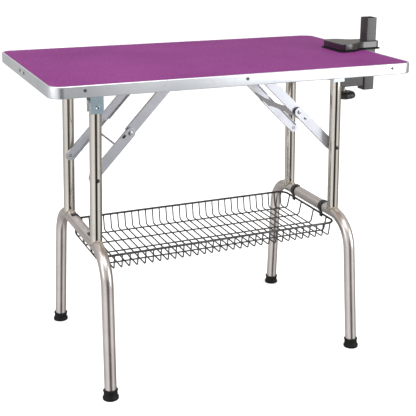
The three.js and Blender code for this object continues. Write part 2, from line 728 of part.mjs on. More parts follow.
function buildClamp() {
  const clamp = new THREE.Group();
  clamp.position.set(0, clampOffset, 0);
  table.add(clamp);
  const half = postSize / 2;
  const postTop = tableHeight + postRise;
  const postBottom = tableHeight - postFall;
  const bore = half - postWall;
  const post = cut(
    box([postX - half, -half, postBottom], [postX + half, half, postTop]),
    box([postX - bore, -bore, postBottom - past], [postX + bore, bore, postTop + past]),
  );
  addPiece(clamp, 'clamp_post', post, finishes.clamp);

  const clear = half + gap;
  const clearHole = (low, high) =>
    box([postX - clear, -clear, low - past], [postX + clear, clear, high + past]);
  const padBottom = tableHeight + gap;
  const padTop = padBottom + jawPadThickness;
  const jawPad = cut(extrude(jawOutline(jawPadFlare), padBottom, padTop), clearHole(padBottom, padTop));
  addPiece(clamp, 'jaw_pad', jawPad, finishes.rubber);
  const jawBottom = padTop + gap;
  const jawTop = jawBottom + jawHeight;
  const jaw = cut(extrude(jawOutline(0), jawBottom, jawTop), clearHole(jawBottom, jawTop));
  addPiece(clamp, 'clamp_jaw', jaw, finishes.clamp);

  const armTop = tableHeight - armDrop;
  const armBottom = armTop - armHeight;
  const armOuter = postX - clear;
  const armInner = armOuter - armReach;
  const screwX = armInner + screwInset;
  const screwRadius = screwDiameter / 2;
  const arm = cut(
    box([armInner, -armWidth / 2, armBottom], [armOuter, armWidth / 2, armTop]),
    cylinder('z', screwRadius + pinClearance, armBottom - past, armTop + past, screwX, 0),
  );
  addPiece(clamp, 'clamp_arm', arm, finishes.clamp);

  const pressTop = boardBottom - gap;
  const pressBottom = pressTop - padHeight;
  const socketDepth = padHeight / 2;
  const pressurePad = cut(
    cylinder('z', padDiameter / 2, pressBottom, pressTop, screwX, 0),
    cylinder('z', screwRadius + pinClearance, pressBottom - past, pressBottom + socketDepth, screwX, 0),
  );
  addPiece(clamp, 'pressure_pad', pressurePad, finishes.rubber);

  const knobTop = tableHeight - knobDrop;
  const knobBottom = knobTop - knobHeight;
  const screw = cylinder('z', screwRadius, knobTop + gap, pressBottom + socketDepth - gap, screwX, 0);
  addPiece(clamp, 'clamp_screw', screw, finishes.bolt);
  const knob = extrude(lobedOutline(), knobBottom, knobTop).translate(screwX, 0, 0);
  addPiece(clamp, 'clamp_knob', knob, finishes.knob);
}

buildTop();
for (const side of ['left', 'right']) {
  const group = sideGroup(side);
  buildHinge(group, side);
  buildLegFrame(group, side);
  buildBraces(group, side);
}
buildBasket();
buildClamp();

// The clamp stands out past the right end, so the whole moves by half of that overhang.
const overhang = postX + postSize / 2 + jawBeyondPost + jawPadFlare - tableLength / 2;
table.position.x = -overhang / 2;

export default table;
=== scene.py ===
import json
import math

import bmesh
import bpy
import numpy as np
from mathutils import Matrix, Vector


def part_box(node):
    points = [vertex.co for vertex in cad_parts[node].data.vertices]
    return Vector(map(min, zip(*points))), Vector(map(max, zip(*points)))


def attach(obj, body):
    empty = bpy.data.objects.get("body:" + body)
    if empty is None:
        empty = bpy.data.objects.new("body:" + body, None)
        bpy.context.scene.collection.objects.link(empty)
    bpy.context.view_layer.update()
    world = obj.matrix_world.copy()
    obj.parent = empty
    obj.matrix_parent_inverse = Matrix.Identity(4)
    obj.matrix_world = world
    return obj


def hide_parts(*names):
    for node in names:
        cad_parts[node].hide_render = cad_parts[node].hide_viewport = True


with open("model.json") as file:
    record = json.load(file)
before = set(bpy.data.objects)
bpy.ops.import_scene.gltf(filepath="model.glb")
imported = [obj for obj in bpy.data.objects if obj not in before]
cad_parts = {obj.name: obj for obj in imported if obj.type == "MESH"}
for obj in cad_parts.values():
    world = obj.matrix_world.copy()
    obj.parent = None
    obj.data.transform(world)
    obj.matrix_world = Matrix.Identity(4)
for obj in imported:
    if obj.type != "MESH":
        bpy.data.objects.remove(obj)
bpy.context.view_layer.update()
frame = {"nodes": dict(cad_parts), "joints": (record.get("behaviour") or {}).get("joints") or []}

# A folding grooming table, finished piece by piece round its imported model. Metres, +Z up.

joints = {joint["name"]: joint for joint in frame["joints"]}
sides = ("left", "right")
rows = ("front", "back")
mm = 0.001


def corners(node):
    low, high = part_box(node)
    return np.array(low), np.array(high)


def middle(node):
    low, high = corners(node)
    return (low + high) / 2


# Shader sums

class Socket:
    # a node's output that can stand in sums, where each operator adds one Math node
    def __init__(self, finish, link):
        self.finish = finish
        self.link = link

    def math(self, operation, first, second):
        return self.finish.node("ShaderNodeMath", {"operation": operation}, {0: first, 1: second})

    def __add__(self, other):
        return self.math("ADD", self, other)

    def __radd__(self, other):
        return self.math("ADD", other, self)

    def __sub__(self, other):
        return self.math("SUBTRACT", self, other)

    def __rsub__(self, other):
        return self.math("SUBTRACT", other, self)

    def __mul__(self, other):
        return self.math("MULTIPLY", self, other)

    def __rmul__(self, other):
        return self.math("MULTIPLY", other, self)


class Finish:
    # one material; node() adds a node: settings first, then the values or links of its inputs
    def __init__(self, name):
        self.material = bpy.data.materials.new(name)
        self.material.use_nodes = True
        self.tree = self.material.node_tree
        self.tree.nodes.clear()

    def node(self, kind, settings={}, inputs={}, output=0):
        made = self.tree.nodes.new(kind)
        for name, value in settings.items():
            if name == "stops":
                elements = made.color_ramp.elements
                elements.remove(elements[1])
                elements[0].position, elements[0].color = value[0]
                for position, colour in value[1:]:
                    elements.new(position).color = colour
            else:
                setattr(made, name, value)
        for name, value in inputs.items():
            if isinstance(value, Socket):
                self.tree.links.new(value.link, made.inputs[name])
            else:
                made.inputs[name].default_value = value
        return Socket(self, made.outputs[output])

    def spot(self, source="Object", stretch=(1, 1, 1)):
        place = self.node("ShaderNodeTexCoord", output=source)
        return self.node("ShaderNodeMapping", {}, {"Vector": place, "Scale": stretch})

    def noise(self, spot, scale, detail=3.0, rough=0.5):
        return self.node("ShaderNodeTexNoise", {},
                         {"Vector": spot, "Scale": scale, "Detail": detail, "Roughness": rough})

    def cells(self, spot, scale, output="Distance"):
        return self.node("ShaderNodeTexVoronoi", {}, {"Vector": spot, "Scale": scale}, output)

    def spread(self, value, low, high, toLow=0.0, toHigh=1.0):
        return self.node("ShaderNodeMapRange", {},
                         {"Value": value, 1: low, 2: high, 3: toLow, 4: toHigh})

    def mix(self, factor, first, second, way="MIX"):
        settings = {"data_type": "RGBA", "blend_type": way, "clamp_factor": True}
        return self.node("ShaderNodeMix", settings, {0: factor, 6: first, 7: second}, 2)

    def bump(self, height, distance, strength):
        inputs = {"Height": height, "Distance": distance, "Strength": strength}
        return self.node("ShaderNodeBump", {}, inputs)

    def close(self, inputs):
        shader = self.node("ShaderNodeBsdfPrincipled", {}, inputs)
        end = self.tree.nodes.new("ShaderNodeOutputMaterial")
        self.tree.links.new(shader.link, end.inputs["Surface"])
        return self.material


def rgb(red, green, blue):
    # an sRGB colour of 0 to 255 as the linear colour that shaders take
    parts = [(part / 255 / 12.92) if part <= 10 else ((part / 255 + 0.055) / 1.055) ** 2.4
             for part in (red, green, blue)]
    return (*parts, 1.0)


# Finishes

def pebbledVinyl(name):
    # purple non-slip vinyl: fine round pebbles whose tops get a painted highlight, and faint broad
    # patches
    look = {"deep": rgb(104, 34, 98), "pale": rgb(144, 68, 135), "pebble": 420, "patch": 5}
    finish = Finish(name)
    spot = finish.spot()
    pebble = finish.cells(spot, look["pebble"])
    grain = finish.noise(spot, look["pebble"] * 2.2, 4)
    patch = finish.noise(spot, look["patch"], 2)
    top = finish.spread(pebble, 0.1, 0.75, 1, 0)
    # top * 0.42 paints a highlight on each pebble's crown; grain and patch are the vinyl's own tone
    tone = top * 0.42 + grain * 0.4 + patch * 0.38
    colour = finish.mix(finish.spread(tone, 0.3, 0.95), look["deep"], look["pale"])
    height = top + grain * 0.5
    return finish.close({"Base Color": colour, "Roughness": finish.spread(grain, 0.3, 0.7, 0.5, 0.72),
                         "Specular IOR Level": 0.12, "Normal": finish.bump(height, 0.35 * mm, 0.8)})


def brushedMetal(name, look):
    # metal with hairlines along its UV map's U direction, which is in metres
    finish = Finish(name)
    spot = finish.spot("UV", look["stretch"])
    plain = finish.spot()
    hair = finish.noise(spot, look["hair"], 5, 0.65)
    cloud = finish.noise(plain, look["cloud"], 3)
    scuff = finish.noise(plain, look["cloud"] * 9, 6, 0.7)
    wear = finish.spread(scuff, 0.56, 0.7)
    tone = finish.spread(hair * 0.6 + cloud * 0.4, 0.35, 0.65)
    colour = finish.mix(tone, look["dark"], look["light"])
    colour = finish.mix(wear * 0.35, colour, look["worn"])
    low, high = look["rough"]
    roughness = finish.spread(hair * 0.55 + cloud * 0.45, 0.35, 0.65, low, high) + wear * 0.06
    return finish.close({"Base Color": colour, "Metallic": 1.0, "Roughness": roughness,
                         "Normal": finish.bump(hair, look["depth"] * mm, 0.6)})


def zincPlate(name, look):
    # bright zinc plating: soft crystal patches, a bluish passivate and faint rolling lines
    finish = Finish(name)
    spot = finish.spot()
    crystal = finish.cells(spot, look["crystal"], output="Color")
    crystalTone = finish.node("ShaderNodeSeparateColor", {}, {"Color": crystal}, "Red")
    cloud = finish.noise(spot, 22, 4)
    line = finish.noise(finish.spot("Object", (1, 1, 24)), 60, 3)
    tone = crystalTone * look["spangle"] + cloud * 0.6 + line * 0.3
    colour = finish.mix(finish.spread(tone, 0.3, 0.7), look["dark"], look["light"])
    speck = finish.spread(finish.noise(spot, 260, 3), 0.64, 0.72)
    colour = finish.mix(speck * 0.3, colour, look["speck"])
    low, high = look["rough"]
    roughness = finish.spread(crystalTone * 0.4 + cloud * 0.6, 0.3, 0.7, low, high) + speck * 0.1
    height = line * 0.5 + speck * 0.7 + crystalTone * 0.2
    return finish.close({"Base Color": colour, "Metallic": 1.0, "Roughness": roughness,
                         "Normal": finish.bump(height, look["depth"] * mm, 0.7)})


def heatTint(name):
    # weld metal: straw and blue heat colours over grey, with fine ripples
    look = {"straw": rgb(184, 170, 144), "blue": rgb(138, 140, 148), "grey": rgb(190, 186, 180)}
    finish = Finish(name)
    spot = finish.spot()
    cloud = finish.noise(spot, 130, 3)
    colour = finish.mix(finish.spread(cloud, 0.4, 0.6), look["straw"], look["grey"])
    patch = finish.spread(finish.noise(spot, 210, 2), 0.55, 0.65)
    colour = finish.mix(patch * 0.6, colour, look["blue"])
    return finish.close({"Base Color": colour, "Metallic": 1.0,
                         "Roughness": finish.spread(cloud, 0.3, 0.7, 0.25, 0.45),
                         "Normal": finish.bump(finish.noise(spot, 900, 3), 0.15 * mm, 0.7)})


def blackRubber(name):
    # moulded rubber: matt, with a dusty bloom and a fine leathery grain
    finish = Finish(name)
    spot = finish.spot()
    grain = finish.noise(spot, 1400, 5, 0.6)
    bloom = finish.noise(spot, 60, 4)
    colour = finish.mix(finish.spread(bloom, 0.45, 0.75, 0, 0.7), rgb(9, 9, 10), rgb(26, 26, 26))
    return finish.close({"Base Color": colour, "Roughness": finish.spread(bloom, 0.3, 0.7, 0.5, 0.72),
                         "Specular IOR Level": 0.25, "Normal": finish.bump(grain, 0.12 * mm, 0.8)})


def coating(name, look):
    # stove enamel, powder coat or moulded plastic: orange peel, broad tone and rubbed spots
    finish = Finish(name)
    spot = finish.spot()
    peel = finish.noise(spot, look["peel"], 3, 0.55)
    cloud = finish.noise(spot, 35, 4)
    rubbed = finish.spread(finish.noise(spot, 150, 6, 0.7), 0.6, 0.72)
    colour = finish.mix(finish.spread(cloud, 0.35, 0.65), look["dark"], look["light"])
    colour = finish.mix(rubbed * 0.4, colour, look["rubbed"])
    low, high = look["rough"]
    roughness = finish.spread(cloud * 0.5 + peel * 0.5, 0.35, 0.65, low, high) + rubbed * 0.08
    return finish.close({"Base Color": colour, "Metallic": look["metal"], "Roughness": roughness,
                         "Coat Weight": look["coat"], "Coat Roughness": 0.25,
                         "Normal": finish.bump(peel, look["depth"] * mm, 0.7)})


def plainBoard(name):
    # the board's underside: a sealed wood panel with grain along the table
    look = {"early": rgb(172, 160, 146), "late": rgb(138, 124, 108)}
    finish = Finish(name)
    spot = finish.spot("Object", (1.2, 14, 14))
    wander = finish.noise(spot, 2.2, 5, 0.6)
    ring = finish.node("ShaderNodeMath", {"operation": "SINE"}, {0: wander * 46})
    pore = finish.noise(finish.spot("Object", (12, 300, 300)), 3, 4, 0.7)
    tone = finish.spread(ring, -1, 1, 0, 0.6) + finish.spread(pore, 0.5, 0.75, 0, 0.5)
    colour = finish.mix(tone, look["early"], look["late"])
    return finish.close({"Base Color": colour, "Roughness": finish.spread(pore, 0.3, 0.7, 0.42, 0.62),
                         "Normal": finish.bump(pore + ring * 0.2, 0.12 * mm, 0.6)})


steelUpright = {"stretch": (3, 900, 1), "hair": 1.0, "cloud": 6, "depth": 0.004, "rough": (0.06, 0.09),
                "dark": rgb(196, 190, 182), "light": rgb(226, 221, 212), "worn": rgb(168, 160, 150)}
steelBow = {"stretch": (9, 1400, 1), "hair": 1.0, "cloud": 9, "depth": 0.03, "rough": (0.28, 0.36),
            "dark": rgb(196, 188, 184), "light": rgb(228, 221, 218), "worn": rgb(168, 160, 156)}
trimMetal = {"stretch": (5, 1600, 1), "hair": 1.0, "cloud": 5, "depth": 0.02, "rough": (0.3, 0.42),
             "dark": rgb(214, 218, 224), "light": rgb(240, 242, 246), "worn": rgb(196, 200, 206)}
zincLook = {"crystal": 160, "spangle": 0.08, "depth": 0.04, "dark": rgb(176, 196, 208),
            "light": rgb(196, 214, 224), "speck": rgb(164, 180, 190), "rough": (0.26, 0.36)}
# braceLook: the same zinc as zincLook painted paler, as painted light for the braces' brighter look
braceLook = {"crystal": 160, "spangle": 0.03, "depth": 0.02, "dark": rgb(202, 204, 212),
             "light": rgb(218, 219, 226), "speck": rgb(190, 192, 200), "rough": (0.3, 0.38)}
boltLook = {"crystal": 500, "spangle": 0.2, "depth": 0.06, "dark": rgb(140, 142, 146),
            "light": rgb(196, 198, 200), "speck": rgb(96, 96, 98), "rough": (0.22, 0.38)}
rivetLook = {"crystal": 500, "spangle": 0.2, "depth": 0.06, "dark": rgb(66, 68, 72),
             "light": rgb(104, 106, 110), "speck": rgb(52, 52, 54), "rough": (0.4, 0.55)}
wireLook = {"peel": 900, "depth": 0.05, "metal": 0.25, "coat": 0.25, "rough": (0.34, 0.5),
            "dark": rgb(44, 44, 46), "light": rgb(68, 68, 70), "rubbed": rgb(104, 102, 100)}
clampLook = {"peel": 1100, "depth": 0.06, "metal": 0.15, "coat": 0.3, "rough": (0.28, 0.4),
             "dark": rgb(33, 29, 30), "light": rgb(50, 46, 47), "rubbed": rgb(74, 70, 70)}
jawLook = {"peel": 1100, "depth": 0.03, "metal": 0.0, "coat": 0.8, "rough": (0.14, 0.24),
           "dark": rgb(20, 17, 19), "light": rgb(32, 29, 31), "rubbed": rgb(52, 50, 50)}
plasticLook = {"peel": 1500, "depth": 0.04, "metal": 0.0, "coat": 0.2, "rough": (0.3, 0.45),
               "dark": rgb(16, 16, 17), "light": rgb(30, 30, 31), "rubbed": rgb(58, 57, 56)}

vinyl = pebbledVinyl("purpleVinyl")
board = plainBoard("sealedBoard")
trimFinish = brushedMetal("satinAluminium", trimMetal)
polished = brushedMetal("polishedSteel", steelUpright)
satin = brushedMetal("satinSteel", steelBow)
zinc = zincPlate("zincPlate", zincLook)
# the braces' zinc painted paler: painted light, not a different plating
paintedLitZinc = zincPlate("paintedLitZinc", braceLook)
bolt = zincPlate("zincBolt", boltLook)
darkRivet = zincPlate("dulledRivet", rivetLook)
weld = heatTint("weldMetal")
rubber = blackRubber("blackRubber")
wireCoat = coating("wireCoat", wireLook)
powder = coating("powderCoat", clampLook)
enamel = coating("jawEnamel", jawLook)
plastic = coating("blackPlastic", plasticLook)
print("finishes made")


# Surfaces

def unit(vectors):
    return vectors / np.linalg.norm(vectors, axis=-1, keepdims=True)


def gridParts(grid, loopRows, first):
    # a grid of rows by columns of points, whose columns close on themselves: quads between
    # neighbouring rows, a cap on each end row unless the rows close too, and UVs in metres
    count, across = grid.shape[:2]
    row = np.arange(count if loopRows else count - 1)[:, None]
    column = np.arange(across)[None, :]
    nextRow = (row + 1) % count
    nextColumn = (column + 1) % across
    quads = np.stack([row * across + column, row * across + nextColumn,
                      nextRow * across + nextColumn, nextRow * across + column], -1).reshape(-1, 4)
    stepAlong = np.linalg.norm(np.roll(grid, -1, 0) - grid, axis=2).mean(1)
    stepAcross = np.linalg.norm(np.roll(grid, -1, 1) - grid, axis=2).mean(0)
    along = np.concatenate([[0], np.cumsum(stepAlong)])
    around = np.concatenate([[0], np.cumsum(stepAcross)])
    u = np.stack([along[row], along[row], along[row + 1], along[row + 1]], -1)
    v = np.stack([around[column], around[column + 1], around[column + 1], around[column]], -1)
    u, v = np.broadcast_arrays(u, v)
    uv = np.stack([u, v], -1).reshape(-1, 2)
    faces = (quads + first).tolist()
    if not loopRows:
        faces.append((first + np.arange(across)[::-1]).tolist())
        faces.append((first + (count - 1) * across + np.arange(across)).tolist())
        uv = np.concatenate([uv, np.zeros((2 * across, 2))])
    return faces, uv


def addPiece(name, surfaces, finish, body, nodes=(), crease=40):
    # surfaces are (grid, loopRows); the piece is one object made of all of them
    vertices, faces, uvs = [], [], []
    total = 0
    for grid, loopRows in surfaces:
        newFaces, uv = gridParts(grid, loopRows, total)
        faces += newFaces
        uvs.append(uv)
        vertices.append(grid.reshape(-1, 3))
        total += grid.shape[0] * grid.shape[1]
    mesh = bpy.data.meshes.new(name)
    mesh.from_pydata(np.concatenate(vertices).tolist(), [], faces)
    layer = mesh.uv_layers.new(name="metres")
    layer.data.foreach_set("uv", np.concatenate(uvs).ravel())
    work = bmesh.new()
    work.from_mesh(mesh)
    bmesh.ops.remove_doubles(work, verts=work.verts, dist=1e-7)
    bmesh.ops.recalc_face_normals(work, faces=work.faces)
    work.to_mesh(mesh)
    work.free()
    return setUp(name, mesh, finish, body, nodes, crease)


def setUp(name, mesh, finish, body, nodes, crease):
    mesh.shade_smooth()
    mesh.set_sharp_from_angle(angle=math.radians(crease))
    mesh.materials.clear()
    mesh.materials.append(finish)
    piece = bpy.data.objects.new(name, mesh)
    bpy.context.scene.collection.objects.link(piece)
    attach(piece, body)
    if nodes:
        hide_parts(*nodes)
    return piece


def refined(name, node, finish, body, bevel, crease=35):
    # a pressed or cut part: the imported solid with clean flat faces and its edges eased
    mesh = frame["nodes"][node].data.copy()
    work = bmesh.new()
    work.from_mesh(mesh)
    bmesh.ops.remove_doubles(work, verts=work.verts, dist=2e-5)
    bmesh.ops.dissolve_limit(work, angle_limit=math.radians(1.5), verts=work.verts, edges=work.edges)
    bmesh.ops.recalc_face_normals(work, faces=work.faces)
    work.to_mesh(mesh)
    work.free()
    piece = setUp(name, mesh, finish, body, [node], crease)
    ease = piece.modifiers.new("easedEdges", "BEVEL")
    ease.width = bevel
    ease.segments = 2
    ease.limit_method = "ANGLE"
    ease.angle_limit = math.radians(crease)
    ease.harden_normals = True
    return piece


def carried(path, section, normal, closed=False):
    # the section (u, v) carried along the path: point = path + u * side + v * normal, where
    # side is the path's direction crossed with the normal
    direction = np.roll(path, -1, 0) - np.roll(path, 1, 0)
    if not closed:
        direction[0] = path[1] - path[0]
        direction[-1] = path[-1] - path[-2]
    normal = unit(np.broadcast_to(np.asarray(normal, float), path.shape))
    side = unit(np.cross(direction, normal))
    up = unit(np.cross(side, direction))
    return path[:, None] + section[None, :, :1] * side[:, None] + section[None, :, 1:] * up[:, None]


def circle(radius, count):
    angle = np.linspace(0, 2 * np.pi, count, endpoint=False)
    return radius * np.stack([np.cos(angle), np.sin(angle)], -1)


def turned(profile, count=32):
    # a profile of (radius, height) turned about Z: x = r cos a, y = r sin a, z = height
    profile = np.asarray(profile, float)
    ring = circle(1.0, count)
    flat = profile[:, None, :1] * ring[None]
    height = np.broadcast_to(profile[:, None, 1:], flat[..., :1].shape)
    return np.concatenate([flat, height], -1)


def placed(grid, origin, axisX, axisY, axisZ):
    # local x, y, z laid along three axes from the origin
    return np.asarray(origin) + grid @ np.array([axisX, axisY, axisZ], float)


def standing(grid, origin, axis):
    # local z laid along an axis, with any x and y square to it
    axis = unit(np.asarray(axis, float))
    helper = np.array([0, 0, 1.0]) if abs(axis[2]) < 0.9 else np.array([1.0, 0, 0])
    axisX = unit(np.cross(helper, axis))
    return placed(grid, origin, axisX, np.cross(axis, axisX), axis)


def arcPoints(centre, radius, start, end, count):
    # points of an arc in a plane, from one angle in degrees to another
    angle = np.radians(np.linspace(start, end, count))
    return np.asarray(centre) + radius * np.stack([np.cos(angle), np.sin(angle)], -1)


def rounded(points, radius, count=8):
    # a polyline whose inner corners are arcs of that radius, each between the two points where
    # it touches the lines
    points = np.asarray(points, float)
    path = [points[:1]]
    t = np.linspace(0, 1, count)[:, None]
    for before, corner, after in zip(points, points[1:], points[2:]):
        inward = unit(before - corner)
        onward = unit(after - corner)
        half = math.acos(float(np.clip(inward @ onward, -1, 1))) / 2
        reach = radius / math.tan(half)
        start, end = corner + inward * reach, corner + onward * reach
        bisector = unit(inward + onward)
        centre = corner + bisector * radius / math.sin(half)
        chord = (1 - t) * start + t * end - centre
        path.append(centre + unit(chord) * radius)
    path.append(points[-1:])
    return np.concatenate(path)


def outline(halfX, halfY, radius, count=10):
    # a rectangle with four quarter arcs for corners, anticlockwise
    quarter = np.radians(np.linspace(0, 90, count))
    starts = np.radians([0, 90, 180, 270])
    angle = (starts[:, None] + quarter[None]).ravel()
    centreX = np.repeat([1, -1, -1, 1], count) * (halfX - radius)
    centreY = np.repeat([1, 1, -1, -1], count) * (halfY - radius)
    return np.stack([centreX + radius * np.cos(angle), centreY + radius * np.sin(angle)], -1)


def lofted(halfX, halfY, radius, profile, centre, count=10):
    # one ring of the outline for each (inset, height) of the profile
    rings = [np.c_[outline(halfX - inset, halfY - inset, radius - inset, count),
                   np.full(4 * count, height)] for inset, height in profile]
    return np.array(rings) + np.array([centre[0], centre[1], 0])


def title(*words):
    # a piece's name: the words joined, each after the first with a capital
    return words[0] + "".join(word.capitalize() for word in words[1:])


# Camera, light and floor

camera = {"position": (-0.95573, -2.18633, 1.17716), "azimuth": 25.434, "elevation": 14.31, "roll": 0.896,
          "lens": 78.82, "shift": (-0.0764, -0.1693)}
studio = {"floorReach": 30, "aimHeight": 0.5, "keyPower": 60, "sidePower": 45, "fillPower": 20}


def makeCamera():
    azimuth, elevation = math.radians(camera["azimuth"]), math.radians(camera["elevation"])
    roll = math.radians(camera["roll"])
    forward = np.array([math.sin(azimuth) * math.cos(elevation),
                        math.cos(azimuth) * math.cos(elevation), -math.sin(elevation)])
    right = unit(np.cross(forward, [0, 0, 1]))
    up = np.cross(right, forward)
    axisX = math.cos(roll) * right + math.sin(roll) * up
    axisY = math.cos(roll) * up - math.sin(roll) * right
    data = bpy.data.cameras.new("camera")
    data.lens = camera["lens"]
    data.shift_x, data.shift_y = camera["shift"]
    lens = bpy.data.objects.new("camera", data)
    turn = Matrix(np.array([axisX, axisY, -forward]).T.tolist()).to_4x4()
    lens.matrix_world = Matrix.Translation(camera["position"]) @ turn
    bpy.context.scene.collection.objects.link(lens)
    bpy.context.scene.camera = lens


def makeLamp(name, position, size, power, colour):
    data = bpy.data.lights.new(name, "AREA")
    data.shape = "RECTANGLE"
    data.size, data.size_y = size
    data.energy = power
    data.color = colour
    lamp = bpy.data.objects.new(name, data)
    towards = np.array([0, 0, studio["aimHeight"]]) - np.array(position)
    turn = Vector(towards).to_track_quat("-Z", "Y").to_matrix().to_4x4()
    lamp.matrix_world = Matrix.Translation(position) @ turn
    bpy.context.scene.collection.objects.link(lamp)


def grey(tone, warm=0.0):
    return (tone * (1 + warm), tone, tone * (1 - warm), 1)


def makeSky():
    # the studio: by azimuth a bright side, a dark flag in front and a dim far side, all below
    # the softboxes; by height, a dimmer band along the horizon
    world = bpy.data.worlds.new("studio")
    bpy.context.scene.world = world
    world.use_nodes = True
    sky = Finish("skyDraft")
    sky.tree = world.node_tree
    sky.tree.nodes.clear()
    direction = sky.node("ShaderNodeTexCoord", output="Generated")
    x = sky.node("ShaderNodeSeparateXYZ", {}, {0: direction}, "X")
    y = sky.node("ShaderNodeSeparateXYZ", {}, {0: direction}, "Y")
    z = sky.node("ShaderNodeSeparateXYZ", {}, {0: direction}, "Z")
    angle = sky.node("ShaderNodeMath", {"operation": "ARCTAN2"}, {0: y, 1: x})
    stops = [(0.0, grey(1.0)), (0.12, grey(1.15)), (0.165, grey(0.75)), (0.19, grey(0.04)),
             (0.262, grey(0.02)), (0.3, grey(0.65)), (0.35, grey(1.1)), (0.42, grey(0.75)),
             (0.46, grey(0.36, 0.08)), (0.6, grey(0.3, 0.08)), (0.72, grey(0.42, 0.06)),
             (0.86, grey(0.6)), (0.97, grey(0.8)), (1.0, grey(1.0))]
    turn = sky.spread(angle, -math.pi, math.pi)
    around = sky.node("ShaderNodeValToRGB", {"stops": stops}, {"Fac": turn})
    rise = [(0.0, grey(0.8)), (0.44, grey(1.0)), (0.5, grey(1.0)), (0.55, grey(0.4)), (0.6, grey(0.95)),
            (0.72, grey(1.1)), (0.8, grey(0.6)), (0.88, grey(1.1)), (1.0, grey(1.1))]
    upward = sky.node("ShaderNodeValToRGB", {"stops": rise}, {"Fac": sky.spread(z, -1, 1)})
    above = sky.spread(z, 0.2, 0.4)
    tone = sky.mix(1.0, sky.mix(above, around, grey(0.8)), upward, "MULTIPLY")
    shine = sky.node("ShaderNodeBackground", {}, {"Color": tone, "Strength": 1.0})
    end = sky.tree.nodes.new("ShaderNodeOutputWorld")
    sky.tree.links.new(shine.link, end.inputs["Surface"])
    bpy.data.materials.remove(sky.material)


def makeFloor():
    # a pale floor that glows a little, so that shadows on it stay faint
    finish = Finish("paleFloor")
    spot = finish.spot()
    tone = finish.mix(finish.noise(spot, 3), (0.9, 0.9, 0.9, 1), (0.93, 0.93, 0.93, 1))
    finish.close({"Base Color": tone, "Roughness": 0.9, "Emission Color": (1, 1, 1, 1),
                  "Emission Strength": 0.42})
    reach = studio["floorReach"]
    mesh = bpy.data.meshes.new("floor")
    mesh.from_pydata([(-reach, -reach, 0), (reach, -reach, 0), (reach, reach, 0), (-reach, reach, 0)],
                     [], [(0, 1, 2, 3)])
    mesh.materials.append(finish.material)
    floor = bpy.data.objects.new("floor", mesh)
    bpy.context.scene.collection.objects.link(floor)
    floor.visible_glossy = False  # polished metal reflects the studio's walls instead


makeCamera()
makeSky()
makeFloor()
makeLamp("overheadSoftbox", (-0.4, -0.6, 3.2), (3.0, 2.4), studio["keyPower"], (1, 0.99, 0.98))
makeLamp("rightSoftbox", (2.2, -2.4, 1.2), (1.4, 2.2), studio["sidePower"], (1, 1, 1))
makeLamp("leftSoftbox", (-3.0, -0.6, 1.6), (1.6, 2.2), studio["fillPower"], (0.96, 0.98, 1))
bpy.context.scene.view_settings.view_transform = "Standard"
print("camera, light and floor made")


# Top

trimShape = {"wall": 1.5 * mm, "lip": 5 * mm, "edge": 2.2 * mm, "cornerRadius": 32 * mm,
             "ease": 0.4 * mm, "matEdge": 0.8 * mm}


def makeTop():
    low, high = corners("edge_trim")
    centre = (low + high) / 2
    halfX, halfY = (high - low)[:2] / 2
    wall, lip, edge = trimShape["wall"], trimShape["lip"], trimShape["edge"]
    ease, matEdge = trimShape["ease"], trimShape["matEdge"]
    bottom, top = low[2], high[2]
    lowerEdge = arcPoints((edge, bottom + edge), edge, 270, 180, 6)
    upperEdge = arcPoints((edge, top - edge), edge, 180, 90, 6)
    inner = [(lip, top - ease), (lip, top - wall), (wall, top - wall), (wall, bottom + wall),
             (lip, bottom + wall), (lip, bottom + ease), (lip - ease, bottom)]
    profile = [*lowerEdge, *upperEdge, (lip - ease, top), *inner]
    rings = lofted(halfX, halfY, trimShape["cornerRadius"], profile, centre, 16)
    # rings run round the table, so rows and columns change places and the lines follow the edge
    addPiece("edgeTrim", [(np.swapaxes(rings, 0, 1), True)], trimFinish, "tabletop",
             ["edge_trim"], 30)

    matLow, matHigh = corners("table_mat")
    matHalf = (matHigh - matLow)[:2] / 2
    shoulder = matHigh[2] - matEdge
    crown = [(0, matLow[2]), (0, shoulder), *arcPoints((matEdge, shoulder), matEdge, 180, 90, 5)]
    mat = lofted(*matHalf, trimShape["cornerRadius"] - lip, crown, centre, 16)
    addPiece("tableMat", [(mat, False)], vinyl, "tabletop", ["table_mat"], 60)
    frame["nodes"]["table_board"].data.materials.clear()
    frame["nodes"]["table_board"].data.materials.append(board)
    return low, high, centre


trimLow, trimHigh, topCentre = makeTop()
print("top made")


# Rivets and bolts

def domeHead(radius, height, dimple=0.35):
    # a button head: an upright rim, a dome and a small round dimple
    t = np.linspace(0, 1, 7)
    dome = np.stack([radius * (1 - t * (1 - dimple)), height * (0.45 + 0.55 * np.sin(t * np.pi / 2))], -1)
    dent = [(radius * dimple * 0.8, height * 0.72), (radius * dimple * 0.4, height * 0.62),
            (0, height * 0.6)]
    return np.array([(0, -height * 0.6), (radius * 0.98, -height * 0.6), (radius, 0), *dome, *dent])


def crossHead(radius, height):
    # a pan-head screw: the dome is hollowed along a cross, by depth that fades with radius
    grid = turned(domeHead(radius, height, 0.08), 48)
    reach = np.hypot(grid[..., 0], grid[..., 1]) / radius
    arm = np.minimum(np.abs(grid[..., 0]), np.abs(grid[..., 1])) / radius
    hollow = np.clip(1 - arm / 0.14, 0, 1) * np.clip((0.62 - reach) / 0.1, 0, 1)
    above = grid[..., 2] > height * 0.4
    grid[..., 2] -= hollow * above * height * 0.5
    return grid


trimRivet = {"radius": 3.9 * mm, "height": 1.2 * mm, "frontX": (-0.397, -0.002, 0.408),
             "endY": (0.024, -0.019), "rise": 16.5 * mm}


